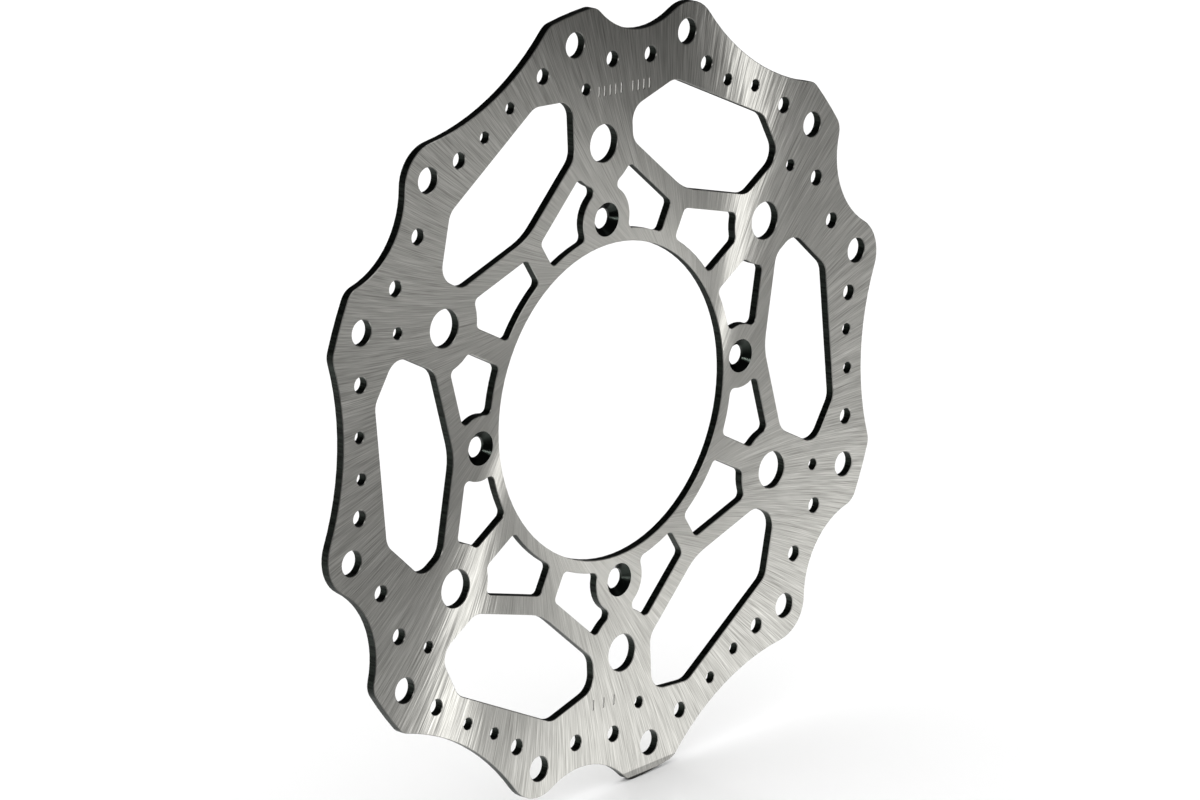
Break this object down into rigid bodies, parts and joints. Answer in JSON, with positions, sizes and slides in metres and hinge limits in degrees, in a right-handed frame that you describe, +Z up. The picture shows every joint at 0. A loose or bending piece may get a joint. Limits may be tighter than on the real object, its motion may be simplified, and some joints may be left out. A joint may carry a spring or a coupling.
{
  "type": "motorcycle brake disc",
  "caption": "Flat wave brake disc with scalloped rim, vented rubbing band, windowed hub, round bore and countersunk bolt holes.",
  "frame": {"origin": "centre of the disc, on its axis and halfway through its thickness", "axes": "+Y along the disc's axis, from the countersunk outer face (at -Y) to the hub side, +Z up with a square rim petal near the top, +X to the right in the outer face's view"},
  "size_m": [0.2466, 0.003, 0.2498],
  "materials": {
    "ground_steel": "rotary ground, bare stainless"
  },
  "bodies": {
    "root": {"brake_disc": "ground_steel"}
  },
  "joints": []
}
